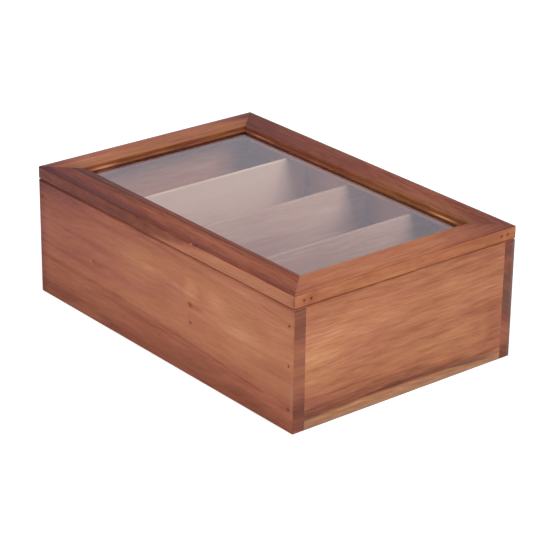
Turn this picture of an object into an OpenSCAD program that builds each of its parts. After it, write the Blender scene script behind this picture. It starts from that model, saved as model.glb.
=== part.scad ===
// Wooden tea bag organizer: a nailed box with four compartments side by side, closed by a
// hinged lid whose mitred frame holds a clear window.
// Millimetres, +Z up. The long side runs along X and the front looks along -Y.
// The origin is the centre of the base of the space that the closed box takes up.

/* [Body] */
// Length of the box, along its long side
box_l = 300; // [240:5:420]
// Width of the box, from the front to the back
box_w = 201; // [150:1:280]
// Height of the body, from the table to its rim
body_h = 91; // [80:1:140]
// Thickness of the four body panels
wall_t = 10; // [9.5:0.5:14]
// Radius of the eased outer edges of body and lid
edge_r = 1; // [0.6:0.1:1.4]

/* [Base] */
// Thickness of the thin base board
base_t = 4; // [3:0.5:6]
// Height of the base board's underside above the table
base_rise = 5; // [4:0.5:8]
// How far the base board reaches into the panels
base_seat = 4; // [3:0.5:6]

/* [Dividers] */
// Thickness of a divider
divider_t = 3; // [2.5:0.5:6]
// How far the dividers stop below the body's rim
divider_drop = 1.2; // [0.4:0.1:4]
// Depth of the slots that hold the dividers' ends
slot_d = 3; // [2:0.5:5]
// Radius of the eased top edges of a divider
divider_edge_r = 0.6; // [0.3:0.1:1.2]

/* [Lid frame] */
// Thickness of the lid
lid_t = 9.6; // [9:0.2:14]
// Gap between the body's rim and the closed lid
lid_gap = 0.4; // [0.2:0.1:0.6]
// Width of the flat top of a lid rail
rail_flat_w = 24; // [18:0.5:34]
// Width of the sunk ledge along the window
ledge_w = 4.5; // [3:0.5:7]
// Depth of the step from the rail's top down to the ledge
step_d = 1.8; // [1.2:0.1:2.6]
// Fall of the ledge towards the window
ledge_fall = 0.5; // [0.2:0.1:0.8]
// Thickness of the wood over the edge of the pane
lip_t = 1.2; // [0.6:0.1:1.6]
// Width of the bevel along the top of the step
step_bevel = 0.4; // [0.2:0.1:0.8]

/* [Window] */
// Thickness of the clear pane
pane_t = 2; // [1.5:0.1:2.4]
// How far the pane reaches into its groove
pane_seat = 4; // [2.5:0.5:6]

/* [Nails] */
// Radius of a nail
nail_r = 0.7; // [0.5:0.1:1]
// Length of a nail
nail_l = 25; // [20:1:30]
// How far a nail's head is set below the surface
nail_set = 0.3; // [0.1:0.1:0.8]
// Height of the lowest body nail above the table
nail_low = 17; // [14:1:26]
// Height of the middle body nail above the table
nail_mid = 49; // [38:1:56]
// How far the highest body nail sits below the rim
nail_top_in = 13; // [8:1:16]
// Distance of the first lid nail from the lid's corner
lid_nail_in = 8; // [6:0.5:10]
// Distance between the two nails of a lid corner
lid_nail_pitch = 6; // [4:0.5:7]

/* [Hinges] */
// Opening angle at which the eased back edges stop the lid
lid_open = 100; // [90:1:110]
// Length of a hinge, along the back edge
leaf_l = 25; // [20:1:32]
// Width of a leaf, from the pin to its inner edge
leaf_w = 8; // [7:0.2:8.4]
// Thickness of a leaf
leaf_t = 1; // [0.8:0.1:1.2]
// Radius of the hinge pin
hinge_pin_r = 0.9; // [0.7:0.1:1.1]
// Radius of a screw's shank
screw_r = 0.9; // [0.7:0.1:1]
// Radius of a screw's head
screw_head_r = 1.7; // [1.5:0.1:1.9]
// Length of a screw, head and all
screw_l = 7; // [5:0.5:7.5]
// Length of a screw's point
screw_point_l = 1.6; // [1:0.1:2.4]
// Distance of a screw from the end of its leaf
screw_in = 6; // [4:0.5:7]
// Width of the slot in a screw's head
driver_slot_w = 0.5; // [0.3:0.1:0.6]
// Depth of the slot in a screw's head
driver_slot_d = 0.4; // [0.2:0.1:0.5]

/* [Clearances] */
// Play round the base board, the dividers and the pane in their grooves
seat_gap = 0.1; // [0.05:0.05:0.2]
// Play round a nail, a screw or a leaf in the wood
fit_gap = 0.05; // [0.02:0.01:0.1]
// Play between the hinge pin and the knuckles
pin_gap = 0.05; // [0.02:0.01:0.08]
// Space between the knuckles, and round them
knuckle_gap = 0.25; // [0.15:0.05:0.35]
// Half the angle left between the eased back edges when the lid stands at its stop
stop_play = 6; // [4:1:10]

/* [Hidden] */
$fn = 48;

// Compartments, one more than there are dividers
cells = 4;
// How far a cutter reaches past the surface that it opens
over = 1;

red_wood = [0.66, 0.40, 0.28];
dark_wood = [0.54, 0.31, 0.24];
light_wood = [0.72, 0.46, 0.31];
pale_board = [0.80, 0.68, 0.55];
brass = [0.74, 0.58, 0.32];
nail_steel = [0.36, 0.27, 0.22];
clear_sheet = [0.86, 0.90, 0.92, 0.35];

// Places inside the body
base_in = wall_t - base_seat;
base_top = base_rise + base_t;
cell_l = (box_l - 2 * wall_t - (cells - 1) * divider_t) / cells;
slot_in = wall_t - slot_d;

// Places in the lid
lid_z = body_h + lid_gap;
rail_w = rail_flat_w + ledge_w;
pane_in = rail_w - pane_seat;
pane_top = lid_z + lid_t - step_d - ledge_fall - lip_t - seat_gap;

// The hinge pin lies just so far inside the back face that the eased back edges of body and
// lid meet when the lid stands at its opening angle
stop_half = lid_open / 2 + stop_play;
pivot_in = edge_r - (edge_r - (edge_r + lid_gap / 2) * cos(stop_half)) / sin(stop_half);
knuckle_r = hinge_pin_r + pin_gap + leaf_t;
knuckle_l = (leaf_l - 2 * knuckle_gap) / 3;
barrel_out = knuckle_r - pivot_in;
barrel_room = knuckle_r + knuckle_gap;
leaf_face = lid_gap / 2;
screw_y = (leaf_w + barrel_room) / 2;
screw_head_h = screw_head_r - screw_r;
screw_tip_r = screw_r / 4;
left_hinge_x = wall_t + cell_l / 2;
right_hinge_x = box_l - left_hinge_x;

// Left side of divider i, counted from 1 at the left
function divider_x(i) = wall_t + i * cell_l + (i - 1) * divider_t;

// Moves a piece from the box's front left corner to the part's own origin
module in_place() {
    translate([-box_l / 2, -(box_w + barrel_out) / 2, 0])
        children();
}

// Rectangle whose four corners are rounded
module eased_rectangle(l, w, r) {
    translate([r, 0])
        square([l - 2 * r, w]);
    translate([0, r])
        square([l, w - 2 * r]);
    for (x = [r, l - r])
        for (y = [r, w - r])
            translate([x, y])
                circle(r);
}

// Block at the corner of the box with every edge eased, from which panels and rails are cut
module eased_block(h) {
    intersection() {
        linear_extrude(h)
            eased_rectangle(box_l, box_w, edge_r);
        along_x(box_l)
            eased_rectangle(box_w, h, edge_r);
        along_y(box_w)
            eased_rectangle(box_l, h, edge_r);
    }
}

// Draws an outline given in Y and Z out along X
module along_x(l) {
    rotate([90, 0, 90])
        linear_extrude(l)
            children();
}

// Draws an outline given in X and Z out along Y
module along_y(l) {
    translate([0, l, 0])
        rotate([90, 0, 0])
            linear_extrude(l)
                children();
}

// Swaps the front and the back of the box
module swap_back() {
    translate([0, box_w, 0])
        mirror([0, 1, 0])
            children();
}

// Swaps the left and the right end of the box
module swap_ends() {
    translate([box_l, 0, 0])
        mirror([1, 0, 0])
            children();
}

// The base board, or with some play the room that the panels leave for it
module base_board(play) {
    translate([base_in - play, base_in - play, base_rise - play])
        cube([box_l - 2 * (base_in - play), box_w - 2 * (base_in - play), base_t + 2 * play]);
}

// Slots for the dividers' ends, open at the rim
module divider_slots() {
    for (i = [1:cells - 1])
        translate([divider_x(i) - seat_gap, slot_in, base_top])
            cube([divider_t + 2 * seat_gap, box_w - 2 * slot_in, body_h]);
}

// A nail that goes in along +Y at the origin
module nail() {
    translate([0, nail_set, 0])
        rotate([-90, 0, 0])
            cylinder(r = nail_r, h = nail_l);
}

// The hole of a nail, open at the surface above its head
module nail_hole() {
    translate([0, -over, 0])
        rotate([-90, 0, 0])
            cylinder(r = nail_r + fit_gap, h = over + nail_set + nail_l + fit_gap);
}

// Puts a nail at each place on the front, where it goes into the ends of the side panels
module at_front_nails() {
    for (x = [wall_t / 2, box_l - wall_t / 2])
        for (z = [nail_low, nail_mid, body_h - nail_top_in])
            translate([x, 0, z])
                children();
}

// Puts a nail at each place on the lid's left end, across the mitres
module at_left_lid_nails() {
    for (y = [lid_nail_in, lid_nail_in + lid_nail_pitch])
        for (place = [y, box_w - y])
            translate([0, place, lid_z + lid_t / 2])
                rotate([0, 0, -90])
                    children();
}

// Holes of all the body's nails
module body_nail_holes() {
    at_front_nails()
        nail_hole();
    swap_back()
        at_front_nails()
            nail_hole();
}

// Puts a piece at a hinge, with the origin on the pin's axis
module at_hinge(x) {
    translate([x, box_w - pivot_in, body_h + leaf_face])
        children();
}

// Puts a piece at both screws of a body leaf, with the origin on the leaf's face
module at_leaf_screws() {
    for (x = [screw_in - leaf_l / 2, leaf_l / 2 - screw_in])
        translate([x, -screw_y, -leaf_face])
            children();
}

// Countersunk screw that goes in along -Z at the origin
module screw() {
    difference() {
        union() {
            translate([0, 0, -screw_head_h])
                cylinder(r1 = screw_r, r2 = screw_head_r, h = screw_head_h);
            translate([0, 0, screw_point_l - screw_l])
                cylinder(r = screw_r, h = screw_l - screw_point_l - screw_head_h);
            translate([0, 0, -screw_l])
                cylinder(r1 = screw_tip_r, r2 = screw_r, h = screw_point_l);
        }
        translate([-screw_head_r - over, -driver_slot_w / 2, -driver_slot_d])
            cube([2 * (screw_head_r + over), driver_slot_w, driver_slot_d + over]);
    }
}

// Countersunk hole for a screw in a leaf
module screw_seat() {
    translate([0, 0, -leaf_t - over])
        cylinder(r = screw_r + fit_gap, h = leaf_t + 2 * over);
    translate([0, 0, -screw_head_h])
        cylinder(r1 = screw_r + fit_gap, r2 = screw_head_r + fit_gap, h = screw_head_h);
    cylinder(r = screw_head_r + fit_gap, h = over);
}

// Left end of knuckle k of a hinge, counted from 0
function knuckle_x(k) = k * (knuckle_l + knuckle_gap) - leaf_l / 2;

// Body leaf of a hinge with the knuckles listed, its pin's axis on the X axis
module leaf(knuckles) {
    difference() {
        union() {
            translate([-leaf_l / 2, -leaf_w, -leaf_face - leaf_t])
                cube([leaf_l, leaf_w - barrel_room, leaf_t]);
            for (k = knuckles)
                translate([knuckle_x(k), 0, 0]) {
                    rotate([0, 90, 0])
                        cylinder(r = knuckle_r, h = knuckle_l);
                    translate([0, -leaf_w, -leaf_face - leaf_t])
                        cube([knuckle_l, leaf_w, leaf_t]);
                }
        }
        translate([-leaf_l / 2 - over, 0, 0])
            rotate([0, 90, 0])
                cylinder(r = hinge_pin_r + pin_gap, h = leaf_l + 2 * over);
        at_leaf_screws()
            screw_seat();
    }
}

// Lid leaf of a hinge, which turns on the middle knuckle
module lid_leaf() {
    mirror([0, 0, 1])
        leaf([1]);
}

// Pin of a hinge, flush with the ends of the barrel
module pin() {
    translate([-leaf_l / 2, 0, 0])
        rotate([0, 90, 0])
            cylinder(r = hinge_pin_r, h = leaf_l);
}

// Both screws of a body leaf
module leaf_screws() {
    at_leaf_screws()
        screw();
}

// Both screws of a lid leaf, which go up into the lid
module lid_screws() {
    mirror([0, 0, 1])
        leaf_screws();
}

// What a hinge takes out of the body's rim: the leaf's bed, room for the barrel, screw holes
module hinge_bed() {
    bed_l = leaf_l + 2 * fit_gap;
    translate([-bed_l / 2, -leaf_w - fit_gap, -leaf_face - leaf_t - fit_gap])
        cube([bed_l, leaf_w + fit_gap + pivot_in + over, leaf_t + fit_gap + over]);
    translate([-bed_l / 2, 0, 0])
        rotate([0, 90, 0])
            cylinder(r = barrel_room, h = bed_l);
    at_leaf_screws()
        translate([0, 0, -screw_l - fit_gap])
            cylinder(r = screw_r + fit_gap, h = screw_l);
}

// Body panel along the front, with the end grain showing at both ends
module long_panel() {
    difference() {
        intersection() {
            eased_block(body_h);
            cube([box_l, wall_t, body_h]);
        }
        base_board(seat_gap);
        divider_slots();
        at_front_nails()
            nail_hole();
    }
}

module front_panel() {
    color(red_wood)
        in_place()
            long_panel();
}

module back_panel() {
    color(red_wood)
        in_place()
            difference() {
                swap_back()
                    long_panel();
                at_hinge(left_hinge_x)
                    hinge_bed();
                at_hinge(right_hinge_x)
                    hinge_bed();
            }
}

// End panel on the left, which stands between the long panels
module end_panel() {
    difference() {
        intersection() {
            eased_block(body_h);
            translate([0, wall_t, 0])
                cube([wall_t, box_w - 2 * wall_t, body_h]);
        }
        base_board(seat_gap);
        body_nail_holes();
    }
}

module left_panel() {
    color(light_wood)
        in_place()
            end_panel();
}

module right_panel() {
    color(light_wood)
        in_place()
            swap_ends()
                end_panel();
}

module base_panel() {
    color(pale_board)
        in_place()
            base_board(0);
}

// Divider i, whose ends stand in the long panels' slots
module divider(i) {
    h = body_h - divider_drop - base_top;
    end_in = slot_in + seat_gap;
    color(pale_board)
        in_place()
            translate([divider_x(i), end_in, base_top])
                along_y(box_w - 2 * end_in) {
                    square([divider_t, h - divider_edge_r]);
                    translate([divider_edge_r, 0])
                        square([divider_t - 2 * divider_edge_r, h]);
                    for (x = [divider_edge_r, divider_t - divider_edge_r])
                        translate([x, h - divider_edge_r])
                            circle(divider_edge_r);
                }
}

module left_divider() {
    divider(1);
}

module middle_divider() {
    divider(2);
}

module right_divider() {
    divider(3);
}

module front_nails() {
    color(nail_steel)
        in_place()
            at_front_nails()
                nail();
}

module back_nails() {
    color(nail_steel)
        in_place()
            swap_back()
                at_front_nails()
                    nail();
}

// Cross-section of a lid rail: flat top, step, sunk ledge
module rail_outline() {
    polygon([
        [0, 0],
        [rail_w, 0],
        [rail_w, lid_t - step_d - ledge_fall],
        [rail_flat_w, lid_t - step_d],
        [rail_flat_w, lid_t - step_bevel],
        [rail_flat_w - step_bevel, lid_t],
        [0, lid_t]
    ]);
}

// The pane, or with some play the groove that the rails leave for it
module pane(play) {
    translate([pane_in - play, pane_in - play, pane_top - pane_t - play])
        cube([box_l - 2 * (pane_in - play), box_w - 2 * (pane_in - play), pane_t + 2 * play]);
}

// Grooves and nail holes that all the lid rails are cut with
module lid_cuts() {
    pane(seat_gap);
    at_left_lid_nails()
        nail_hole();
    swap_ends()
        at_left_lid_nails()
            nail_hole();
}

// Lid rail along the front, mitred at both ends
module long_rail() {
    difference() {
        translate([0, 0, lid_z])
            intersection() {
                eased_block(lid_t);
                along_x(box_l)
                    rail_outline();
                linear_extrude(lid_t)
                    polygon([[0, 0], [box_l, 0], [box_l - rail_w, rail_w], [rail_w, rail_w]]);
            }
        lid_cuts();
    }
}

// Lid rail along the left end, mitred at both ends
module short_rail() {
    difference() {
        translate([0, 0, lid_z])
            intersection() {
                eased_block(lid_t);
                along_y(box_w)
                    rail_outline();
                linear_extrude(lid_t)
                    polygon([[0, 0], [rail_w, rail_w], [rail_w, box_w - rail_w], [0, box_w]]);
            }
        lid_cuts();
    }
}

module lid_front_rail() {
    color(dark_wood)
        in_place()
            long_rail();
}

module lid_back_rail() {
    color(dark_wood)
        in_place()
            difference() {
                swap_back()
                    long_rail();
                at_hinge(left_hinge_x)
                    mirror([0, 0, 1])
                        hinge_bed();
                at_hinge(right_hinge_x)
                    mirror([0, 0, 1])
                        hinge_bed();
            }
}

module lid_left_rail() {
    color(light_wood)
        in_place()
            short_rail();
}

module lid_right_rail() {
    color(light_wood)
        in_place()
            swap_ends()
                short_rail();
}

module lid_window() {
    color(clear_sheet)
        in_place()
            pane(0);
}

module lid_left_nails() {
    color(nail_steel)
        in_place()
            at_left_lid_nails()
                nail();
}

module lid_right_nails() {
    color(nail_steel)
        in_place()
            swap_ends()
                at_left_lid_nails()
                    nail();
}

// Puts a brass piece at the hinge at x
module brass_at(x) {
    color(brass)
        in_place()
            at_hinge(x)
                children();
}

module left_hinge_body_leaf() {
    brass_at(left_hinge_x)
        leaf([0, 2]);
}

module left_hinge_lid_leaf() {
    brass_at(left_hinge_x)
        lid_leaf();
}

module left_hinge_pin() {
    brass_at(left_hinge_x)
        pin();
}

module left_hinge_body_screws() {
    brass_at(left_hinge_x)
        leaf_screws();
}

module left_hinge_lid_screws() {
    brass_at(left_hinge_x)
        lid_screws();
}

module right_hinge_body_leaf() {
    brass_at(right_hinge_x)
        leaf([0, 2]);
}

module right_hinge_lid_leaf() {
    brass_at(right_hinge_x)
        lid_leaf();
}

module right_hinge_pin() {
    brass_at(right_hinge_x)
        pin();
}

module right_hinge_body_screws() {
    brass_at(right_hinge_x)
        leaf_screws();
}

module right_hinge_lid_screws() {
    brass_at(right_hinge_x)
        lid_screws();
}

front_panel();
back_panel();
left_panel();
right_panel();
base_panel();
left_divider();
middle_divider();
right_divider();
front_nails();
back_nails();
lid_front_rail();
lid_back_rail();
lid_left_rail();
lid_right_rail();
lid_window();
lid_left_nails();
lid_right_nails();
left_hinge_body_leaf();
left_hinge_lid_leaf();
left_hinge_pin();
left_hinge_body_screws();
left_hinge_lid_screws();
right_hinge_body_leaf();
right_hinge_lid_leaf();
right_hinge_pin();
right_hinge_body_screws();
right_hinge_lid_screws();
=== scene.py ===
import math

import bpy
from mathutils import Matrix, Vector


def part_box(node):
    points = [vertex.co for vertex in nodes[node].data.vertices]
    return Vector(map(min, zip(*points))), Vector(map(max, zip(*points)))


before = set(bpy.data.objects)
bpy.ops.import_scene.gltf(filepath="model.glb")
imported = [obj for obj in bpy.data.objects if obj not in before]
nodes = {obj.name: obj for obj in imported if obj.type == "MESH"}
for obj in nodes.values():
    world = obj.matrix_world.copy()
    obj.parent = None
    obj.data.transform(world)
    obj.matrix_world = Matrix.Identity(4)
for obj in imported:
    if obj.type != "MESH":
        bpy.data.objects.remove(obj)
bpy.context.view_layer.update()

MM = 0.001

# Photograph's camera
PICTURE_HEIGHT = 550
FOCAL_PIXELS = 2251.0
CAMERA_AZIMUTH = math.radians(50.772)
CAMERA_ELEVATION = math.radians(23.552)
CAMERA_ROLL = math.radians(0.710)
CAMERA_DISTANCE = 1643.79 * MM
CAMERA_AIM = Vector((5.749, -0.894, 39.963)) * MM
CAMERA_NEAR = 0.05
CAMERA_FAR = 50
SENSOR_WIDTH = 36.0

# Studio
FLOOR_SIZE = 12.0
FLOOR_GREY = (0.80, 0.80, 0.80, 1)
FLOOR_ROUGHNESS = 0.9
FLOOR_GLOW = 0.58
SKY_LIGHT = 0.20
SKY_SEEN = 1.0
SKY_MIRRORED = (0.67, 0.69, 0.78, 1)
WHITE = (1, 1, 1, 1)
LAMP_TARGET = (0, 0, 0.05)

# Lamps by name, place, size and power
LAMPS = (
    ("left_softbox", (-0.83, -1.01, 0.95), 1.0, 14.5),
    ("right_softbox", (1.22, 0.14, 1.15), 0.9, 18.5),
    ("back_softbox", (0.10, 1.60, 0.90), 1.0, 5.0),
)

# Places on the box, in millimetres. Each pair is where a darker or paler edge starts and is full.
LID_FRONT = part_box("lid_right_rail")[0].y / MM
LID_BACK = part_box("lid_right_rail")[1].y / MM
NAIL_HEIGHTS = (17, 49, 78)
NAIL_AT = 145
LID_NAIL_HEIGHT = 96.2
LID_NAIL_STEPS = (8, 14)
STAIN_CORE = 0.5
# Heights of the painted shade along the joint between box and lid
BODY_SEAM = (89.6, 90.8)
LID_SEAM = (92.6, 91.7)
# Heights of the painted shade line at the pane and of the painted light on the lip under it
PANE_LINE = (98.9, 98.5)
PANE_LIP = (95.8, 95.2)

# Finish of the wood, the pane and the metal
OILED_ROUGHNESS = 0.5
BARE_ROUGHNESS = 0.6
WOOD_SPECULAR = 0.15
GRAIN_BUMP = 0.6
GRAIN_DEPTH = 0.00012
PANE_IOR = 1.49
SCRATCH_BUMP = 0.3
SCRATCH_DEPTH = 0.00003

# How far a face may turn from an axis and still count as looking along it
FACE_EDGE = (0.6, 0.85)
SAWN_EDGE = (0.75, 0.9)

# Noise of each grain line: scale along, across and through a board, detail, roughness
GRAIN_LINES = {
    "Bands": ((8.0, 70.0, 45.0), 3.0, 0.55),
    "Streaks": ((28.0, 420.0, 300.0), 3.0, 0.6),
    "Flecks": ((55.0, 520.0, 300.0), 2.0, 0.6),
    "Fibres": ((60.0, 1900.0, 1500.0), 2.0, 0.6),
    "Pores": ((220.0, 2200.0, 2200.0), 1.0, 0.5),
    "Hues": ((16.0, 70.0, 60.0), 3.0, 0.6),
}
SWAY_SCALE = (7.0, 9.0, 9.0)
HUE_SEED = 5.0
PORE_EDGE = (0.60, 0.72)

# Sawn ends
RING_RATE = 1500.0
RING_WOBBLE = 0.006
WOBBLE_SCALE = (60.0, 60.0, 0.0)
SAWN_PORE_SCALE = (1600.0, 1600.0, 0.0)
SAWN_PORE_EDGE = (0.60, 0.70)
CLOUD_RATE = 160.0
CLOUD_DRIFT = 30.0

# Ragged edges of bands and patches
BAND_EDGE_SCALE = (30.0, 260.0, 100.0)
BAND_EDGE_REACH = 0.0012
PATCH_EDGE_SCALE = (60.0, 260.0, 100.0)
THINNEST_BAND = 0.0001

# Smears and scratches
SMEAR_SCALE = 35.0
SCRATCH_SCALE = (400.0, 6000.0, 6000.0)


def shade(red, green, blue):
    """A colour written in the usual 0 to 255 steps, for a shader."""
    steps = (red / 255, green / 255, blue / 255)
    linear = [v / 12.92 if v <= 0.04045 else ((v + 0.055) / 1.055) ** 2.4 for v in steps]
    return (*linear, 1)


# Camera and studio


def make_camera():
    az, el = CAMERA_AZIMUTH, CAMERA_ELEVATION
    right = Vector((math.cos(az), math.sin(az), 0))
    back = Vector((math.sin(az) * math.cos(el), -math.cos(az) * math.cos(el), math.sin(el)))
    up = back.cross(right)
    c, s = math.cos(CAMERA_ROLL), math.sin(CAMERA_ROLL)
    rolled_right = c * right + s * up
    rolled_up = c * up - s * right
    data = bpy.data.cameras.new("camera")
    data.sensor_width = SENSOR_WIDTH
    data.lens = FOCAL_PIXELS / PICTURE_HEIGHT * SENSOR_WIDTH
    data.clip_start = CAMERA_NEAR
    data.clip_end = CAMERA_FAR
    camera = bpy.data.objects.new("camera", data)
    turn = Matrix((rolled_right, rolled_up, back)).transposed().to_4x4()
    camera.matrix_world = Matrix.Translation(CAMERA_AIM + back * CAMERA_DISTANCE) @ turn
    bpy.context.scene.collection.objects.link(camera)
    bpy.context.scene.camera = camera


def soft_lamp(name, place, size, power):
    data = bpy.data.lights.new(name, "AREA")
    data.shape = "SQUARE"
    data.size = size
    data.energy = power
    lamp = bpy.data.objects.new(name, data)
    lamp.location = place
    lamp.rotation_euler = (Vector(place) - Vector(LAMP_TARGET)).to_track_quat("Z", "Y").to_euler()
    lamp.visible_glossy = False
    bpy.context.scene.collection.objects.link(lamp)


# Node helpers

NUMBER = "NodeSocketFloat"
TRIPLE = "NodeSocketVector"


def put(tree, socket, value):
    if isinstance(value, bpy.types.NodeSocket):
        tree.links.new(value, socket)
    else:
        socket.default_value = value


def node(tree, kind, inputs=None, **settings):
    made = tree.nodes.new(kind)
    for name, value in settings.items():
        setattr(made, name, value)
    for name, value in (inputs or {}).items():
        put(tree, made.inputs[name], value)
    return made


def calc(tree, operation, *values, clamp=False):
    made = node(tree, "ShaderNodeMath", operation=operation, use_clamp=clamp)
    for socket, value in zip(made.inputs, values):
        put(tree, socket, value)
    return made.outputs[0]


def vector_calc(tree, operation, *values):
    made = node(tree, "ShaderNodeVectorMath", operation=operation)
    for socket, value in zip(made.inputs, values):
        put(tree, socket, value)
    return made.outputs["Value" if operation in ("DISTANCE", "LENGTH") else "Vector"]


def scaled(tree, vector, scale):
    return vector_calc(tree, "MULTIPLY", vector, scale)


def part_of(tree, vector):
    made = node(tree, "ShaderNodeSeparateXYZ", {"Vector": vector})
    return made.outputs["X"], made.outputs["Y"], made.outputs["Z"]


def joined(tree, x, y, z):
    return node(tree, "ShaderNodeCombineXYZ", {"X": x, "Y": y, "Z": z}).outputs[0]


def eased(tree, value, low, high, start=0.0, end=1.0):
    made = node(
        tree,
        "ShaderNodeMapRange",
        {"Value": value, "From Min": low, "From Max": high, "To Min": start, "To Max": end},
        interpolation_type="SMOOTHSTEP",
    )
    return made.outputs["Result"]


def blend(tree, factor, first, second):
    made = node(tree, "ShaderNodeMix", data_type="RGBA")
    put(tree, made.inputs[0], factor)
    put(tree, made.inputs[6], first)
    put(tree, made.inputs[7], second)
    return made.outputs[2]


def ramp(tree, factor, stops):
    made = node(tree, "ShaderNodeValToRGB", {"Fac": factor})
    bar = made.color_ramp.elements
    while len(bar) < len(stops):
        bar.new(0.5)
    for element, (place, colour) in zip(bar, stops):
        element.position = place
        element.color = colour
    return made.outputs["Color"]


def noise(tree, vector, scale=1.0, detail=2.0, rough=0.5, seed=0.0):
    made = node(
        tree,
        "ShaderNodeTexNoise",
        {"Vector": vector, "W": seed, "Scale": scale, "Detail": detail, "Roughness": rough},
        noise_dimensions="4D",
    )
    return made.outputs["Fac"]


def centred(tree, value, reach):
    """Noise about its middle, as a number from about -reach to reach."""
    return calc(tree, "MULTIPLY", calc(tree, "SUBTRACT", value, 0.5), reach * 2)


def held(tree, value):
    """A mask kept between 0 and 1."""
    return calc(tree, "ADD", value, 0.0, clamp=True)


def new_group(name, inputs, outputs):
    """A node group from (label, kind, start) inputs and plain number outputs."""
    tree = bpy.data.node_groups.new(name, "ShaderNodeTree")
    sockets = tree.interface
    for label, kind, start in inputs:
        sockets.new_socket(label, in_out="INPUT", socket_type=kind).default_value = start
    for label in outputs:
        sockets.new_socket(label, in_out="OUTPUT", socket_type=NUMBER)
    given = tree.nodes.new("NodeGroupInput").outputs
    return tree, given, tree.nodes.new("NodeGroupOutput").inputs


def use_group(tree, name, inputs):
    made = tree.nodes.new("ShaderNodeGroup")
    made.node_tree = bpy.data.node_groups[name]
    for label, value in inputs.items():
        put(tree, made.inputs[label], value)
    return made.outputs


def new_material(name):
    material = bpy.data.materials.new(name)
    material.use_nodes = True
    material.node_tree.nodes.clear()
    return material, material.node_tree


def put_out(tree, surface, kind="ShaderNodeOutputMaterial"):
    tree.links.new(surface, tree.nodes.new(kind).inputs["Surface"])


# Shared effects


def make_wood_figure():
    """Grain lines along a board. Its vector is along, across, through, in metres."""
    tree, given, gives = new_group(
        "wood_figure",
        [
            ("Vector", TRIPLE, (0, 0, 0)),
            ("Seed", NUMBER, 0.0),
            ("Sway", NUMBER, 0.004),
            ("Slope", NUMBER, 0.0),
            ("Lean", NUMBER, 0.08),
        ],
        GRAIN_LINES,
    )
    along, across, through = part_of(tree, given["Vector"])
    slow = noise(tree, scaled(tree, given["Vector"], SWAY_SCALE), detail=1.0, seed=given["Seed"])
    bent = calc(tree, "MULTIPLY_ADD", centred(tree, slow, 1.0), given["Sway"], across)
    bent = calc(tree, "MULTIPLY_ADD", along, given["Slope"], bent)
    board = joined(tree, along, bent, through)
    leant = joined(tree, along, calc(tree, "MULTIPLY_ADD", along, given["Lean"], bent), through)
    for label, (scale, detail, rough) in GRAIN_LINES.items():
        place = leant if label == "Flecks" else board
        seed = HUE_SEED if label == "Hues" else given["Seed"]
        line = noise(tree, scaled(tree, place, scale), 1.0, detail, rough, seed)
        if label == "Pores":
            line = eased(tree, line, *PORE_EDGE)
        tree.links.new(line, gives[label])


def make_end_grain():
    """Rings and pores of a board cut across. Its vector is across, up, along, in metres."""
    tree, given, gives = new_group(
        "end_grain",
        [
            ("Vector", TRIPLE, (0, 0, 0)),
            ("Seed", NUMBER, 0.0),
            ("Heart", TRIPLE, (0.05, -0.03, 0)),
        ],
        ("Rings", "Pores", "Clouds"),
    )
    seed = given["Seed"]
    across, up, _ = part_of(tree, given["Vector"])
    flat = joined(tree, across, up, 0.0)
    wobble = noise(tree, scaled(tree, flat, WOBBLE_SCALE), detail=2.0, seed=seed)
    distance = vector_calc(tree, "DISTANCE", flat, given["Heart"])
    reach = calc(tree, "MULTIPLY_ADD", wobble, RING_WOBBLE, distance)
    wave = calc(tree, "SINE", calc(tree, "MULTIPLY", reach, RING_RATE))
    dots = noise(tree, scaled(tree, flat, SAWN_PORE_SCALE), detail=1.0, seed=seed)
    outward = calc(tree, "MULTIPLY", reach, CLOUD_RATE)
    drift = joined(tree, outward, calc(tree, "MULTIPLY", across, CLOUD_DRIFT), 0.0)
    tree.links.new(calc(tree, "MULTIPLY_ADD", wave, 0.5, 0.5), gives["Rings"])
    tree.links.new(eased(tree, dots, *SAWN_PORE_EDGE), gives["Pores"])
    tree.links.new(noise(tree, drift, detail=2.0, seed=seed), gives["Clouds"])


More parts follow.
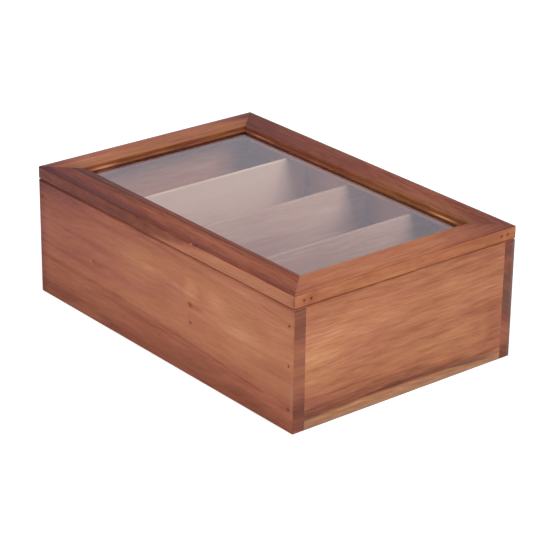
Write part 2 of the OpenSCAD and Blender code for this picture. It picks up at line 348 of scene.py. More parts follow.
def make_grain_band():
    """A band along the grain, with its own start, end, height, bow and width."""
    tree, given, gives = new_group(
        "grain_band",
        [
            ("Vector", TRIPLE, (0, 0, 0)),
            ("Start", NUMBER, -0.1),
            ("End", NUMBER, 0.1),
            ("Start Height", NUMBER, 0.0),
            ("End Height", NUMBER, 0.0),
            ("Bow", NUMBER, 0.0),
            ("Start Width", NUMBER, 0.002),
            ("End Width", NUMBER, 0.002),
            ("Fade", NUMBER, 0.02),
            ("Sharp Below", NUMBER, 1.0),
        ],
        ("Mask",),
    )
    along, across, _ = part_of(tree, given["Vector"])
    done = calc(tree, "SUBTRACT", along, given["Start"])
    to_go = calc(tree, "SUBTRACT", given["End"], along)
    share = calc(tree, "DIVIDE", done, calc(tree, "SUBTRACT", given["End"], given["Start"]))
    rise = calc(tree, "SUBTRACT", given["End Height"], given["Start Height"])
    middle = calc(tree, "MULTIPLY_ADD", share, rise, given["Start Height"])
    hump = calc(tree, "MULTIPLY", share, calc(tree, "SUBTRACT", 1.0, share))
    middle = calc(tree, "MULTIPLY_ADD", calc(tree, "MULTIPLY", hump, 4.0), given["Bow"], middle)
    ragged = noise(tree, scaled(tree, given["Vector"], BAND_EDGE_SCALE), detail=2.0, seed=3.0)
    middle = calc(tree, "ADD", middle, centred(tree, ragged, BAND_EDGE_REACH))
    widening = calc(tree, "SUBTRACT", given["End Width"], given["Start Width"])
    width = calc(tree, "MULTIPLY_ADD", share, widening, given["Start Width"])
    width = calc(tree, "MAXIMUM", width, THINNEST_BAND)
    away = calc(tree, "DIVIDE", calc(tree, "SUBTRACT", across, middle), width)
    below = calc(tree, "MULTIPLY", calc(tree, "MINIMUM", away, 0.0), given["Sharp Below"])
    away = calc(tree, "SUBTRACT", calc(tree, "MAXIMUM", away, 0.0), below)
    mask = eased(tree, away, 0.0, 1.0, 1.0, 0.0)
    for reach in (done, to_go):
        fading = eased(tree, calc(tree, "DIVIDE", reach, given["Fade"]), -0.5, 0.5)
        mask = calc(tree, "MULTIPLY", mask, fading)
    tree.links.new(mask, gives["Mask"])


def make_patch():
    """A soft cloud of another tone at one place of a board."""
    tree, given, gives = new_group(
        "patch",
        [
            ("Vector", TRIPLE, (0, 0, 0)),
            ("Middle", TRIPLE, (0, 0, 0)),
            ("Reach", TRIPLE, (0.02, 0.01, 1)),
            ("Ragged", NUMBER, 0.35),
        ],
        ("Mask",),
    )
    shift = vector_calc(tree, "SUBTRACT", given["Vector"], given["Middle"])
    x, y, _ = part_of(tree, vector_calc(tree, "DIVIDE", shift, given["Reach"]))
    away = vector_calc(tree, "LENGTH", joined(tree, x, y, 0.0))
    cloud = noise(tree, scaled(tree, given["Vector"], PATCH_EDGE_SCALE), detail=3.0, seed=8.0)
    ragged = calc(tree, "MULTIPLY", calc(tree, "SUBTRACT", cloud, 0.5), given["Ragged"])
    away = calc(tree, "ADD", away, ragged)
    tree.links.new(eased(tree, away, 0.15, 1.0, 1.0, 0.0), gives["Mask"])


def make_handled():
    """Faint smears of a surface that has been handled."""
    tree, given, gives = new_group(
        "handled",
        [("Vector", TRIPLE, (0, 0, 0)), ("Scale", NUMBER, 1.0)],
        ("Smears",),
    )
    inputs = {0: given["Vector"], "Scale": given["Scale"]}
    place = node(tree, "ShaderNodeVectorMath", inputs, operation="SCALE").outputs[0]
    smears = noise(tree, place, SMEAR_SCALE, detail=4.0, rough=0.6, seed=2.0)
    tree.links.new(smears, gives["Smears"])


# Wood

WARM_TONES = [
    (0.00, shade(58, 23, 13)),
    (0.25, shade(114, 52, 30)),
    (0.50, shade(167, 97, 70)),
    (0.75, shade(197, 128, 92)),
    (1.00, shade(222, 166, 122)),
]
PLUM_TONES = [
    (0.00, shade(57, 27, 27)),
    (0.25, shade(107, 54, 48)),
    (0.50, shade(154, 88, 76)),
    (0.75, shade(184, 116, 98)),
    (1.00, shade(208, 150, 128)),
]
GOLD_TONES = [
    (0.00, shade(58, 30, 14)),
    (0.25, shade(114, 66, 34)),
    (0.50, shade(160, 104, 60)),
    (0.75, shade(192, 136, 86)),
    (1.00, shade(222, 174, 118)),
]
PALE_TONES = [
    (0.00, shade(194, 138, 112)),
    (0.50, shade(245, 205, 178)),
    (1.00, shade(252, 225, 200)),
]
# Grey for dust, and also for painted shade on the dividers and at the lid's far end
DUST_AND_SHADE_GREY = shade(152, 132, 120)


class Board:
    """The colour of one board while its material is being built.

    Places and lengths are in millimetres, and bands and patches lie along and across the grain.
    A tone of 0 is the darkest wood and 1 the palest. Plum, gold and the grey of dust are shares
    of other hues; in some places that grey is painted shade instead of dust.
    """

    def __init__(self, name, axes, seed, tone, sway=0.004, slope=0.0, lean=0.08):
        self.material, self.tree = new_material(name)
        tree = self.tree
        coordinates = tree.nodes.new("ShaderNodeTexCoord")
        self.object_place = coordinates.outputs["Object"]
        self.axes = dict(zip("XYZ", part_of(tree, self.object_place)))
        self.facing = dict(zip("XYZ", part_of(tree, coordinates.outputs["Normal"])))
        self.place = joined(tree, *[self.axes[a] for a in axes])
        self.figure = use_group(
            tree,
            "wood_figure",
            {"Vector": self.place, "Seed": seed, "Sway": sway, "Slope": slope, "Lean": lean},
        )
        self.seed = seed
        self.tone = tone
        self.plum = 0.0
        self.gold = 0.0
        self.dust_and_shade = 0.0

    def shift(self, mask, tone=0.0, plum=0.0, gold=0.0, dust_and_shade=0.0, within=None):
        """Adds to the tone and to the shares of the other colours where the mask shows."""
        tree = self.tree
        if within is not None:
            mask = calc(tree, "MULTIPLY", mask, within)
        for name, amount in (("tone", tone), ("plum", plum), ("gold", gold), ("dust_and_shade", dust_and_shade)):
            if amount:
                setattr(self, name, calc(tree, "MULTIPLY_ADD", mask, amount, getattr(self, name)))

    def grain(self, bands, streaks, flecks, fibres, pores, hues=0.5):
        """How strongly each kind of grain line shows."""
        tree = self.tree
        reaches = {"Bands": bands, "Streaks": streaks, "Flecks": flecks, "Fibres": fibres}
        for name, reach in reaches.items():
            self.tone = calc(tree, "ADD", self.tone, centred(tree, self.figure[name], reach))
        self.shift(self.figure["Pores"], -pores)
        if hues:
            self.gold = calc(tree, "ADD", self.gold, centred(tree, self.figure["Hues"], hues))
            self.plum = calc(tree, "ADD", self.plum, centred(tree, self.figure["Hues"], -hues))

    def zone(self, axis, low, high, lean=0.0, over="Z", about=0.0):
        """Rises from 0 at low to 1 at high along an axis; its edge may lean over a second axis."""
        value = self.axes[axis]
        if lean:
            off = calc(self.tree, "SUBTRACT", self.axes[over], about * MM)
            value = calc(self.tree, "MULTIPLY_ADD", off, -lean, value)
        return eased(self.tree, value, low * MM, high * MM)

    def side(self, axis, sign=1):
        """The faces that look along an axis, or against it."""
        return eased(self.tree, calc(self.tree, "MULTIPLY", self.facing[axis], sign), *FACE_EDGE)

    def level(self, axis, low, high, tone=0.0, plum=0.0, gold=0.0, dust_and_shade=0.0, within=None):
        """A change along an axis, from nothing at low to all of it at high."""
        self.shift(self.zone(axis, low, high), tone, plum, gold, dust_and_shade, within)

    def band(
        self, start, end, heights, widths, tone, plum=0.0, gold=0.0,
        bow=0.0, fade=20, below=1.0, within=None,
    ):
        """A darker or paler band from start to end along the grain."""
        mask = use_group(
            self.tree,
            "grain_band",
            {
                "Vector": self.place,
                "Start": start * MM,
                "End": end * MM,
                "Start Height": heights[0] * MM,
                "End Height": heights[1] * MM,
                "Bow": bow * MM,
                "Start Width": widths[0] * MM,
                "End Width": widths[1] * MM,
                "Fade": fade * MM,
                "Sharp Below": below,
            },
        )["Mask"]
        self.shift(mask, tone, plum, gold, within=within)

    def patch(
        self, middle, reach, tone, plum=0.0, gold=0.0, dust_and_shade=0.0, ragged=0.35, within=None,
    ):
        """A cloud round a middle, reaching so far along and across the grain."""
        mask = use_group(
            self.tree,
            "patch",
            {
                "Vector": self.place,
                "Middle": (middle[0] * MM, middle[1] * MM, 0),
                "Reach": (reach[0] * MM, reach[1] * MM, 1),
                "Ragged": ragged,
            },
        )["Mask"]
        self.shift(mask, tone, plum, gold, dust_and_shade, within)

    def knot(self, middle, radius, tone, plum=-0.3):
        """A small dark knot with a fainter ring of bent grain round it."""
        self.patch(middle, (radius * 2.6, radius * 1.7), tone * 0.25, plum * 0.5, ragged=0.5)
        self.patch(middle, (radius * 1.25, radius * 1.15), tone * 0.75, plum, -0.5, ragged=0.15)

    def colour(self, warm=WARM_TONES):
        """The tone in warm colours, mixed with gold, plum and a grey for dust and painted shade."""
        tree = self.tree
        colour = ramp(tree, self.tone, warm)
        for share, tones in ((self.gold, GOLD_TONES), (self.plum, PLUM_TONES)):
            if share:
                colour = blend(tree, held(tree, share), colour, ramp(tree, self.tone, tones))
        if self.dust_and_shade:
            colour = blend(tree, held(tree, self.dust_and_shade), colour, DUST_AND_SHADE_GREY)
        return colour

    def finish(self, colour, roughness=OILED_ROUGHNESS):
        """The whole material, with its sheen and the fine relief of the grain."""
        tree = self.tree
        smears = use_group(tree, "handled", {"Vector": self.object_place, "Scale": 1.0})
        sheen = calc(tree, "ADD", centred(tree, smears["Smears"], 0.08), roughness)
        sheen = calc(tree, "MULTIPLY_ADD", self.figure["Pores"], 0.15, sheen, clamp=True)
        depth = calc(tree, "MULTIPLY", self.figure["Fibres"], 0.5)
        depth = calc(tree, "MULTIPLY_ADD", self.figure["Pores"], -1.0, depth)
        depth = calc(tree, "MULTIPLY_ADD", self.figure["Streaks"], 0.5, depth)
        lines = {"Strength": GRAIN_BUMP, "Distance": GRAIN_DEPTH, "Height": depth}
        surface = node(
            tree,
            "ShaderNodeBsdfPrincipled",
            {
                "Base Color": colour,
                "Roughness": sheen,
                "Normal": node(tree, "ShaderNodeBump", lines).outputs[0],
                "Specular IOR Level": WOOD_SPECULAR,
            },
        )
        put_out(tree, surface.outputs[0])
        return self.material


def nail_stain(board, across, at, height, size, tone):
    """A darker spot in the wood round one nail head, at a place along the axis across."""
    tree = board.tree
    sideways = calc(tree, "SUBTRACT", board.axes[across], at * MM)
    upward = calc(tree, "SUBTRACT", board.axes["Z"], height * MM)
    squares = calc(tree, "MULTIPLY_ADD", sideways, sideways, calc(tree, "MULTIPLY", upward, upward))
    spot = eased(tree, calc(tree, "SQRT", squares), STAIN_CORE * MM, size * MM, 1.0, 0.0)
    board.shift(spot, tone, plum=0.1)


def dark_seam(board, heights, tone, within=None):
    """Painted shade along the joint between box and lid; the faces that meet in the joint are left
    out.
    """
    tree = board.tree
    meeting = eased(tree, calc(tree, "ABSOLUTE", board.facing["Z"]), *FACE_EDGE)
    outer_faces = calc(tree, "SUBTRACT", 1.0, meeting)
    seam_shade = calc(tree, "MULTIPLY", board.zone("Z", *heights), outer_faces)
    board.shift(seam_shade, tone, plum=-0.5, within=within)


def rung(board, height, reach):
    """A band that crosses a sawn end at one height."""
    above = calc(board.tree, "SUBTRACT", board.axes["Z"], height * MM)
    away = calc(board.tree, "ABSOLUTE", above)
    return eased(board.tree, away, 0.0, reach * MM, 1.0, 0.0)


def end_cut(board, tone, heart, marks):
    """The sawn end of a long panel, with rings round a heart and marks of mask, tone and hues."""
    tree = board.tree
    face = board.colour()
    cut = joined(tree, board.axes["Y"], board.axes["Z"], board.axes["X"])
    rings = use_group(tree, "end_grain", {"Vector": cut, "Seed": board.seed, "Heart": heart})
    board.tone = calc(tree, "ADD", tone, centred(tree, rings["Rings"], 0.02))
    board.tone = calc(tree, "ADD", board.tone, centred(tree, rings["Clouds"], 0.16))
    board.plum = centred(tree, rings["Clouds"], -0.5)
    board.gold = 0.0
    board.dust_and_shade = 0.0
    board.shift(rings["Pores"], -0.06)
    for mark in marks:
        board.shift(*mark)
    sawn = eased(tree, calc(tree, "ABSOLUTE", board.facing["X"]), *SAWN_EDGE)
    return board.finish(blend(tree, sawn, face, board.colour()))


def front_panel_wood():
    board = Board("front_panel_wood", "XZY", 1.7, 0.47, slope=0.045, lean=-0.14)
    board.grain(0.12, 0.07, 0.10, 0.10, 0.05, hues=0.45)
    # slow changes along and up the board
    board.level("X", -150, 50, 0.15)
    board.level("X", 50, 150, 0.05)
    board.shift(centred(board.tree, board.figure["Bands"], 0.12), 1.0, within=board.zone("X", -20, 60))
    board.level("X", 60, -130, 0.01, 0.45)
    board.level("X", -138, -150, -0.09, 0.3)
    board.level("Z", 74, 92, -0.05, 0.15)
    board.level("Z", 34, 22, -0.08)
    board.level("Z", 18, 9, -0.05)
    board.level("Z", 13, 5, -0.09, within=board.zone("X", -115, -65))
    board.level("Z", 6, 1, -0.06, within=board.zone("X", 20, 80))
    board.level("Z", 60, 76, -0.12, within=board.zone("X", -50, -120))
    board.level("Z", 48, 24, plum=-0.60)
    # grain lines
    board.band(-155, -45, (32.0, 30.5), (2.8, 3.0), -0.08)
    board.band(-60, 5, (31.0, 28.0), (2.2, 1.6), -0.08)
    board.band(-10, 118, (27.0, 19.0), (1.3, 1.6), -0.13, bow=1.2, fade=16)
    board.band(-75, 130, (26, 16), (4.5, 5.0), -0.07, bow=1.5, fade=60)
    board.band(-155, 25, (62, 61), (3.0, 2.2), -0.04, 0.1)
    board.band(-155, -60, (43, 41), (2.5, 2), -0.05, 0.1)
    board.band(-30, 150, (88, 77), (4, 3), -0.05, 0.1)
    board.band(106, 152, (84, 78.5), (1.0, 1.3), -0.12, fade=12)
    board.band(114, 152, (79.5, 75), (0.8, 1.0), -0.09, fade=12)
    # darker and paler clouds
    board.patch((-10, 22), (50, 5), -0.05)
    board.patch((-122, 88), (42, 7), -0.01, 0.4)
    board.patch((-136, 42), (16, 7), 0.05)
    board.patch((0, 49), (34, 12), -0.05, 0.1)
    board.patch((-20, 69), (34, 14), 0.07, gold=0.4)
    board.patch((38, 65.5), (13, 14), 0.15, gold=0.3, ragged=0.6)
    board.patch((68, 68), (16, 8), 0.05)
    board.patch((28, 63.5), (18, 6), 0.11)
    board.patch((58, 62), (22, 7), 0.06)
    board.patch((40, 15), (130, 7), -0.07)
    board.patch((140, 18), (22, 9), -0.07)
    board.patch((125, 7), (64, 11), -0.10)
    board.patch((98, 45), (36, 18), 0.04, -0.1)
    board.patch((92, 41), (24, 8), 0.08)
    board.patch((85, 86), (55, 7), 0.09)
    board.patch((-45, 81), (50, 5), -0.10)
    board.patch((-88, 4.5), (36, 6), 0.12)
    board.patch((-25, 57), (34, 16), 0.055)
    board.patch((5, 66), (32, 7), 0.08)
    board.patch((-50, 66), (70, 7), 0.04)
    board.patch((43, 76), (16, 5), -0.05)
    board.patch((132, 66), (22, 6), 0.07)
    board.patch((70, 21), (30, 4), 0.07)
    board.patch((95, 11), (40, 6), -0.07)
    board.patch((142, 17), (12, 6), -0.06)
    board.patch((22, 27), (24, 3.5), -0.07)
    board.patch((66, 66), (26, 8), 0.06)
    board.patch((80, 56), (44, 24), 0.07)
    # knots with the bent grain beside them
    board.patch((44, 55), (13, 3.6), -0.18, ragged=0.3)
    board.knot((37, 55.2), 3.0, -0.28)
    board.patch((36, 46), (4, 4), -0.04)
    board.knot((37.5, 41.5), 1.8, -0.28)
    board.knot((-79.5, 48), 1.9, -0.17)
    board.patch((-73, 46.8), (10, 3.2), -0.08)
    board.patch((-84, 46), (2.2, 1.5), 0.10, ragged=0.1)
    # near arris, nails, and painted shade along the seam
    board.patch((148.4, 30), (1.8, 24), 0.04, dust_and_shade=0.35)
    board.level("X", -148.6, -149.8, -0.20)
    for height in NAIL_HEIGHTS:
        nail_stain(board, "X", NAIL_AT, height, 2.4, -0.12)
    dark_seam(board, (89.0, 90.6), -0.10)
    dark_seam(board, (88.8, 90.6), -0.12, board.zone("X", 80, -80))
    marks = [
        (board.zone("Z", 32, 16), -0.14, 0.20),
        (board.zone("Z", 13, 8), 0.08),
        (rung(board, 17, 8), -0.07),
        (board.zone("Z", 60, 72), -0.07, 0.05),
        (rung(board, 77, 7), -0.06),
        (board.zone("Y", -100.4, -99.0), -0.05, 0.25, 0.0, 0.10),
        (board.zone("Z", 62, 46), 0.02),
        (board.zone("Z", 22, 40), 0.04, -0.1, 0.25),
        # painted shade along the seam, at the top of the sawn end
        (board.zone("Z", 88.5, 90.5), -0.16),
    ]
    return end_cut(board, 0.43, (-0.09, 0.20, 0), marks)


def back_panel_wood():
    board = Board("back_panel_wood", "XZY", 5.3, 0.52, slope=-0.02)
    board.grain(0.24, 0.14, 0.14, 0.12, 0.06)
    board.level("Z", 30, 12, -0.1, 0.2)
    board.band(-155, 155, (58, 66), (4, 3), -0.1, 0.3, bow=-3)
    board.patch((-60, 40), (22, 8), -0.08, 0.2)
    board.knot((78, 34), 2.2, -0.3, 0.4)
    for height in NAIL_HEIGHTS:
        nail_stain(board, "X", NAIL_AT, height, 2.0, -0.10)
        nail_stain(board, "X", -NAIL_AT, height, 2.0, -0.10)
    dark_seam(board, BODY_SEAM, -0.22)
    board.shift(board.side("Y", -1), 0.16, 0.3)
    middle = calc(board.tree, "MULTIPLY", board.zone("Z", 32, 42), board.zone("Z", 70, 60))
    marks = [
        (board.zone("Z", 0, 1), -0.06, 0.25, 0.0, 0.10),
        (middle, -0.06, 0.2, 0.0, 0.06),
        (board.zone("Z", 34, 24), 0.10, -0.4),
        (board.zone("Z", 15, 7), -0.17),
        (rung(board, 56, 5), 0.07),
        (rung(board, 64, 4), -0.06),
        (rung(board, 76, 5), 0.07),
        (rung(board, 84, 5), -0.06),
        # painted shade: the far edge of the sawn end darker and greyer
        (board.zone("Y", 95.5, 98.8), -0.16, 0.2, 0.0, 0.35),
        # painted shade along the seam, at the top of the sawn end
        (board.zone("Z", 88.5, 90.5), -0.16),
    ]
    return end_cut(board, 0.38, (0.20, 0.17, 0), marks)


def right_panel_wood():
    board = Board("right_panel_wood", "YZX", 9.1, 0.625, sway=0.003, slope=-0.02, lean=0.07)
    board.grain(0.32, 0.23, 0.17, 0.12, 0.07, hues=0.5)
    board.gold = calc(board.tree, "ADD", board.gold, 0.25)
    board.dust_and_shade = 0.07
    board.level("Z", 82, 90, -0.04)
    # darker and paler clouds
    board.patch((-70, 65), (44, 7), 0.12)
    board.patch((-78, 50.5), (26, 6.5), 0.09)
    board.patch((84, 38), (16, 32), -0.12)
    board.patch((62, 30), (14, 12), -0.05)
    board.patch((-10, 49), (66, 5.5), -0.08)
    board.patch((15, 31), (46, 7), 0.05, gold=0.3)
    board.patch((-5, 75), (90, 7), 0.04)
    board.patch((44, 72), (30, 12), 0.11)
    board.patch((72, 42), (24, 20), -0.08)
    board.patch((-48, 54), (14, 6), -0.07)
    board.patch((0, 42), (24, 6), 0.07)
    board.patch((-68, 24), (34, 5), 0.06)
    board.patch((-12, 85), (18, 4), -0.07)
    board.patch((60, 80), (30, 6), -0.04)
    board.patch((-54, 84.5), (7, 2), -0.10, ragged=0.5)
    # grain lines
    board.band(-93, -62, (72.6, 73.4), (1.1, 0.8), -0.16)
    board.band(-93, -38, (41.5, 47.5), (1.3, 1.2), -0.12)
    board.band(-60, 10, (57, 56), (0.9, 0.9), -0.05)
    board.band(-93, -28, (21.5, 22), (1.8, 1.6), -0.12)
    board.band(-20, 60, (69, 68), (0.9, 0.9), -0.07)
    board.band(0, 95, (47.5, 44), (1.0, 0.9), -0.06)
    board.band(10, 95, (29, 27.5), (1.2, 1.0), -0.07)
    # dark wedge along the foot, then the pale, dusty rim under it
    board.band(-110, 80, (6.8, 4.2), (21, 6), -0.24, 0.15, bow=4.4, fade=40, below=7.0)
    board.band(-110, 80, (7.6, 5.0), (3.4, 2.8), -0.10, bow=4.4, fade=40, below=1.5)
    board.patch((80, 16), (24, 9), -0.12)
    board.patch((0, 19), (36, 7), -0.13)
    board.patch((-30, 18), (20, 7), -0.07)
    board.patch((50, 13), (18, 5), -0.12)
    board.patch((80, 9), (18, 4), -0.09)
    board.band(-96, 40, (14, 15), (1.2, 1.0), -0.09, bow=1.0, fade=16)
    board.level("Z", 10, 7, -0.02, gold=0.45, dust_and_shade=0.14)
    board.level("Z", 4, 1, dust_and_shade=0.34)
    flecked = centred(board.tree, board.figure["Flecks"], 1.0)
    board.level("Z", 10, 7, 0.32, dust_and_shade=-0.35, within=flecked)
    board.level("Y", 55, 92, -0.02)
    dark_seam(board, BODY_SEAM, -0.05)
    dark_seam(board, (89.4, 90.8), -0.12, board.zone("Y", -20, -90))
    return board.finish(board.colour())


def left_panel_wood():
    board = Board("left_panel_wood", "YZX", 14.6, 0.58, sway=0.005, slope=0.02)
    board.grain(0.24, 0.14, 0.14, 0.12, 0.07)
    board.level("Z", 24, 8, -0.1, 0.2)
    board.knot((30, 52), 2.4, -0.35, 0.4)
    dark_seam(board, BODY_SEAM, -0.20)
    board.shift(board.side("X"), 0.20, 0.2)
    return board.finish(board.colour())


def lid_front_wood():
    board = Board("lid_front_wood", "XYZ", 21.4, 0.345, sway=0.002, slope=0.004)
    board.grain(0.16, 0.09, 0.12, 0.12, 0.06, hues=0.4)
    top = board.side("Z")
    far_top = calc(board.tree, "MULTIPLY", top, board.zone("X", 20, -60))
    board.level("X", -20, -150, -0.06, 0.5)
    board.level("Y", -93.5, -98.5, -0.11, 0.15, within=top)
    board.level("Y", -90, -95, -0.06, 0.35, within=far_top)
    board.level("X", -100, -146, -0.03, within=top)
    board.patch((-72, -86), (52, 6), -0.08, within=top)
    inner = board.zone("Y", -84.4, -82.8, lean=0.02, over="X", about=-132)
    far_inner = calc(board.tree, "MULTIPLY", inner, board.zone("X", -20, -70))
    board.shift(inner, -0.04, 0.5, dust_and_shade=0.05, within=top)
    board.shift(far_inner, -0.10, within=top)
    board.band(-150, 150, (-83.0, -78.4), (2.6, 1.1), -0.15, -0.4, within=top)
    board.patch((70, -89), (100, 7), 0.05, -0.2, within=top)
    board.band(-120, 60, (-91, -90), (1.2, 1.0), -0.06, within=top)
    board.band(-40, 150, (-87, -86), (1.2, 1.2), 0.05, gold=0.3, within=top)
    face = board.side("Y", -1)
    pale_part = board.zone("X", -26, 22, lean=6.0, about=92)
    dark_part = board.zone("X", 22, -26, lean=6.0, about=92)
    board.shift(pale_part, 0.33, -0.5, -0.4, 0.05, within=face)
    board.shift(dark_part, -0.03, 0.3, within=face)
    board.level("X", 144, 148, -0.08, gold=0.6, within=face)
    board.level("X", 148.7, 149.5, -0.18, within=face)
    edge = board.zone("Z", 98.6, 100.2)
    board.patch((38, -100.6), (1.6, 1.2), 0.30, ragged=0.1, within=edge)
    board.patch((42.5, -99.8), (3.2, 1.4), -0.20, ragged=0.1, within=edge)
    dark_seam(board, LID_SEAM, -0.06)
    dark_seam(board, (93.0, 91.7), -0.10, board.zone("X", 40, -60))
    return board.finish(board.colour())


def lid_back_wood():
    board = Board("lid_back_wood", "XYZ", 33.2, 0.31, sway=0.002)
    board.grain(0.18, 0.14, 0.14, 0.12, 0.06, hues=0.6)
    board.level("X", 60, -150, -0.03, 0.4)
    board.level("X", -60, -140, -0.08)
    board.level("Y", 88, 80, 0.02, -0.3, 0.5, within=board.zone("X", -40, 60))
    board.level("Y", 96.5, 98.5, -0.13, 0.2, dust_and_shade=0.30, within=board.side("Z"))
    board.shift(board.side("Y"), 0.16, -0.1)
    board.level("X", 95, 145, -0.08, 0.2)
    ledge = board.zone("Y", 76.3, 75.7)
    board.shift(ledge, -0.06, -0.3, 0.25, within=board.side("Z"))
    # painted light on the inner wall, which lies in shade
    wall = board.side("Y", -1)
    board.shift(wall, 0.14, gold=0.4)
    # painted shade in a line at the pane, then painted light on the lip under the pane
    board.level("Z", *PANE_LINE, -0.22, within=wall)
    board.level("Z", *PANE_LIP, 0.36, 0.6, within=wall)
    # painted highlights: pale cream streaks along the ledge
    board.patch((105, 72.8), (20, 1.5), 0.50, -0.2, within=ledge)
    board.patch((-102, 73.0), (20, 1.6), 0.32, -0.2, within=ledge)
    dark_seam(board, LID_SEAM, -0.16)
    return board.finish(board.colour())


def side_rail(board, outward):
    """Shared by both short rails: a dark outer arris, a step, and a dark line and pale lip."""
    wall = board.side("X", -outward)
    board.level("X", 148.9 * outward, 149.7 * outward, -0.16)
    # painted shade: the step darker and golder
    board.level("Z", 98.6, 99.2, -0.06, gold=0.4, within=wall)
    # painted shade in a line at the pane, then painted light on the lip under the pane
    board.level("Z", *PANE_LINE, -0.21, within=wall)
    board.level("Z", *PANE_LIP, 0.22, 0.6, within=wall)


def lid_left_wood():
    board = Board("lid_left_wood", "YXZ", 41.9, 0.51, sway=0.002)
    board.grain(0.20, 0.14, 0.14, 0.12, 0.06, hues=0.6)
    board.gold = calc(board.tree, "ADD", board.gold, 0.45)
    board.level("Y", 50, 95, -0.10, 0.2)
    board.level("Y", -60, -92, -0.16, 0.3)
    board.level("X", -138, -149, -0.10, 0.3, -0.6)
    board.level("X", -144, -148, -0.03, 0.2, dust_and_shade=0.25, within=board.side("Z"))
    board.shift(board.side("X", -1), 0.10, -0.2)
    board.level("Y", 70, 92, -0.07)
    board.band(-70, 95, (-131, -133), (1.4, 1.4), -0.06)
    board.band(-100, -20, (-140, -138), (1.4, 1.4), 0.06)
    ledge = board.zone("X", -126.2, -125.6)
    board.shift(ledge, -0.19)
    # painted highlights: pale cream streaks along the ledge
    board.patch((-60, -123.6), (17, 3.4), 0.42, within=ledge)
    board.patch((-10, -123.6), (16, 2.2), 0.10, within=ledge)
    side_rail(board, -1)
    dark_seam(board, LID_SEAM, -0.16)
    return board.finish(board.colour())


def lid_right_wood():
    board = Board("lid_right_wood", "YXZ", 52.3, 0.55, sway=0.002)
    board.grain(0.24, 0.14, 0.16, 0.10, 0.06, hues=0.5)
    board.gold = calc(board.tree, "ADD", board.gold, 0.30)
    top = board.side("Z")
    face = board.side("X")
    board.level("Y", 20, 56, -0.12, 0.1, within=top)
    board.level("Y", 56, 92, -0.13, 0.2, within=top)
    board.level("Y", -66, -96, -0.07, 0.1, within=top)
    board.shift(face, 0.14)
    board.level("Y", -88, -98, 0.08, within=face)
    board.patch((-85, 149), (8, 6), -0.05, within=face)
    board.level("Y", 0, 90, -0.03, within=face)
    board.level("X", 141, 148, -0.05, within=top)
    # painted shade: darker and greyer at the far end of the rail
    board.level("Y", 98.4, 99.6, -0.25, 0.3, dust_and_shade=0.2)
    side_rail(board, 1)
    for at in LID_NAIL_STEPS:
        nail_stain(board, "Y", LID_FRONT + at, LID_NAIL_HEIGHT, 2.0, -0.14)
        nail_stain(board, "Y", LID_BACK - at, LID_NAIL_HEIGHT, 2.2, -0.16)
    dark_seam(board, LID_SEAM, -0.16)
    return board.finish(board.colour())


def divider_wood():
    board = Board("divider_wood", "YZX", 61.0, 0.58, sway=0.003)
    board.grain(0.20, 0.16, 0.12, 0.12, 0.10, hues=0)
    board.level("X", -60, 40, -0.55)
    # painted light: paler towards the back, lifting the back rail's shadow on the faces
    board.level("Y", -20, 50, 0.16)
    # painted shade: darker and greyer towards the bottom, deep in the compartments
    board.level("Z", 84, 40, -0.29, dust_and_shade=0.23)
    # painted shade: the top edges darker and greyer, no brighter than the lit faces
    board.shift(board.side("Z"), -0.20)
    board.level("X", -60, 40, dust_and_shade=0.35, within=board.side("Z"))
    return board.finish(board.colour(PALE_TONES), BARE_ROUGHNESS)


def base_wood():
    board = Board("base_wood", "XYZ", 70.0, 0.45, sway=0.006)
    board.grain(0.24, 0.16, 0.12, 0.12, 0.08, hues=0)
    return board.finish(board.colour(PALE_TONES), BARE_ROUGHNESS)


# Pane and metal


def pane_clear():
    material, tree = new_material("pane_clear")
    place = tree.nodes.new("ShaderNodeTexCoord").outputs["Object"]
    handled = use_group(tree, "handled", {"Vector": place, "Scale": 0.6})
    glass = node(
        tree,
        "ShaderNodeBsdfPrincipled",
        {
            "Base Color": shade(250, 252, 255),
            "Metallic": 0.0,
            "Roughness": calc(tree, "MULTIPLY", handled["Smears"], 0.02),
            "IOR": PANE_IOR,
            "Transmission Weight": 1.0,
        },
    )
    open_way = node(tree, "ShaderNodeBsdfTransparent", {"Color": shade(240, 241, 243)})
    path = tree.nodes.new("ShaderNodeLightPath").outputs
    lamps = calc(tree, "MAXIMUM", path["Is Shadow Ray"], path["Is Diffuse Ray"])
    mixed = node(
        tree, "ShaderNodeMixShader", {0: lamps, 1: glass.outputs[0], 2: open_way.outputs[0]}
    )
    put_out(tree, mixed.outputs[0])
    return material


def metal(name, bright, dull, roughness):
    material, tree = new_material(name)
    place = tree.nodes.new("ShaderNodeTexCoord").outputs["Object"]
    handled = use_group(tree, "handled", {"Vector": place, "Scale": 4.0})
    worn = eased(tree, handled["Smears"], 0.4, 0.65)
    scratches = noise(tree, scaled(tree, place, SCRATCH_SCALE), detail=2.0, seed=9.0)
    rough = calc(tree, "MULTIPLY_ADD", worn, 0.15, roughness)
    lines = {"Strength": SCRATCH_BUMP, "Distance": SCRATCH_DEPTH, "Height": scratches}
    surface = node(
        tree,
        "ShaderNodeBsdfPrincipled",
        {
            "Base Color": blend(tree, worn, bright, dull),
            "Metallic": 1.0,
            "Roughness": calc(tree, "MULTIPLY_ADD", scratches, 0.12, rough),
            "Normal": node(tree, "ShaderNodeBump", lines).outputs[0],
        },
    )
    put_out(tree, surface.outputs[0])
    return material


# Floor and light


def background_rays(tree):
    path = tree.nodes.new("ShaderNodeLightPath").outputs
    seen = calc(tree, "MAXIMUM", path["Is Camera Ray"], path["Is Glossy Ray"])
    return calc(tree, "MAXIMUM", seen, path["Is Transmission Ray"])


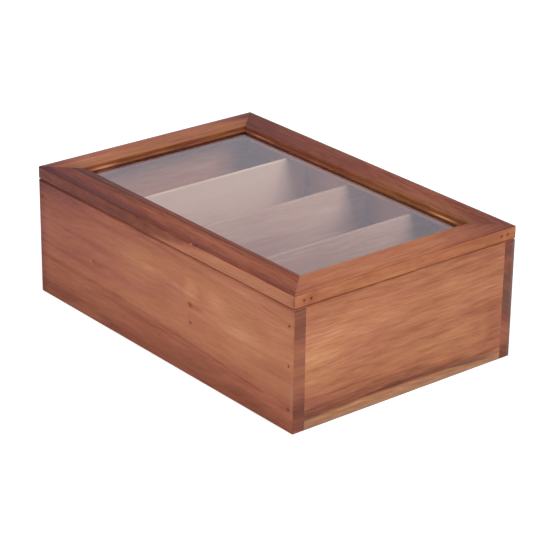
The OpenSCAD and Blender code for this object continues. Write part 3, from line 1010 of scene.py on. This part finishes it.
def make_floor():
    bpy.ops.object.select_all(action="DESELECT")
    bpy.ops.mesh.primitive_plane_add(size=FLOOR_SIZE, location=(0, 0, 0))
    floor = bpy.context.active_object
    floor.name = "floor"
    material, tree = new_material("floor_white")
    matt = node(
        tree,
        "ShaderNodeBsdfPrincipled",
        {"Base Color": FLOOR_GREY, "Roughness": FLOOR_ROUGHNESS, "Specular IOR Level": 0.0},
    )
    strength = calc(tree, "MULTIPLY", background_rays(tree), FLOOR_GLOW)
    glow = node(tree, "ShaderNodeEmission", {"Color": WHITE, "Strength": strength})
    both = node(tree, "ShaderNodeAddShader", {0: matt.outputs[0], 1: glow.outputs[0]})
    put_out(tree, both.outputs[0])
    floor.data.materials.append(material)


def make_sky():
    world = bpy.data.worlds.new("studio")
    world.use_nodes = True
    tree = world.node_tree
    tree.nodes.clear()
    strength = calc(tree, "MULTIPLY_ADD", background_rays(tree), SKY_SEEN - SKY_LIGHT, SKY_LIGHT)
    path = tree.nodes.new("ShaderNodeLightPath").outputs
    cool = blend(tree, path["Is Glossy Ray"], WHITE, SKY_MIRRORED)
    sky = node(tree, "ShaderNodeBackground", {"Color": cool, "Strength": strength})
    put_out(tree, sky.outputs[0], "ShaderNodeOutputWorld")
    bpy.context.scene.world = world


def paint(names, material):
    for name in names:
        nodes[name].data.materials.clear()
        nodes[name].data.materials.append(material)


# Picture and studio set up, then each piece painted

bpy.context.scene.view_settings.view_transform = "Standard"
make_camera()
make_sky()
for lamp in LAMPS:
    soft_lamp(*lamp)
make_floor()
make_wood_figure()
make_end_grain()
make_grain_band()
make_patch()
make_handled()

paint(["front_panel"], front_panel_wood())
paint(["back_panel"], back_panel_wood())
paint(["right_panel"], right_panel_wood())
paint(["left_panel"], left_panel_wood())
paint(["lid_front_rail"], lid_front_wood())
paint(["lid_back_rail"], lid_back_wood())
paint(["lid_left_rail"], lid_left_wood())
paint(["lid_right_rail"], lid_right_wood())
paint(["left_divider", "middle_divider", "right_divider"], divider_wood())
paint(["base_panel"], base_wood())
paint(["lid_window"], pane_clear())
paint(
    ["front_nails", "back_nails", "lid_left_nails", "lid_right_nails"],
    metal("nail_steel", shade(144, 90, 70), shade(114, 70, 54), 0.5),
)
hinge_names = [name for name in nodes if "hinge" in name]
paint(
    [name for name in hinge_names if "screws" not in name],
    metal("hinge_brass", shade(222, 184, 106), shade(176, 140, 78), 0.28),
)
paint(
    [name for name in hinge_names if "screws" in name],
    metal("screw_brass", shade(240, 214, 150), shade(196, 160, 96), 0.22),
)
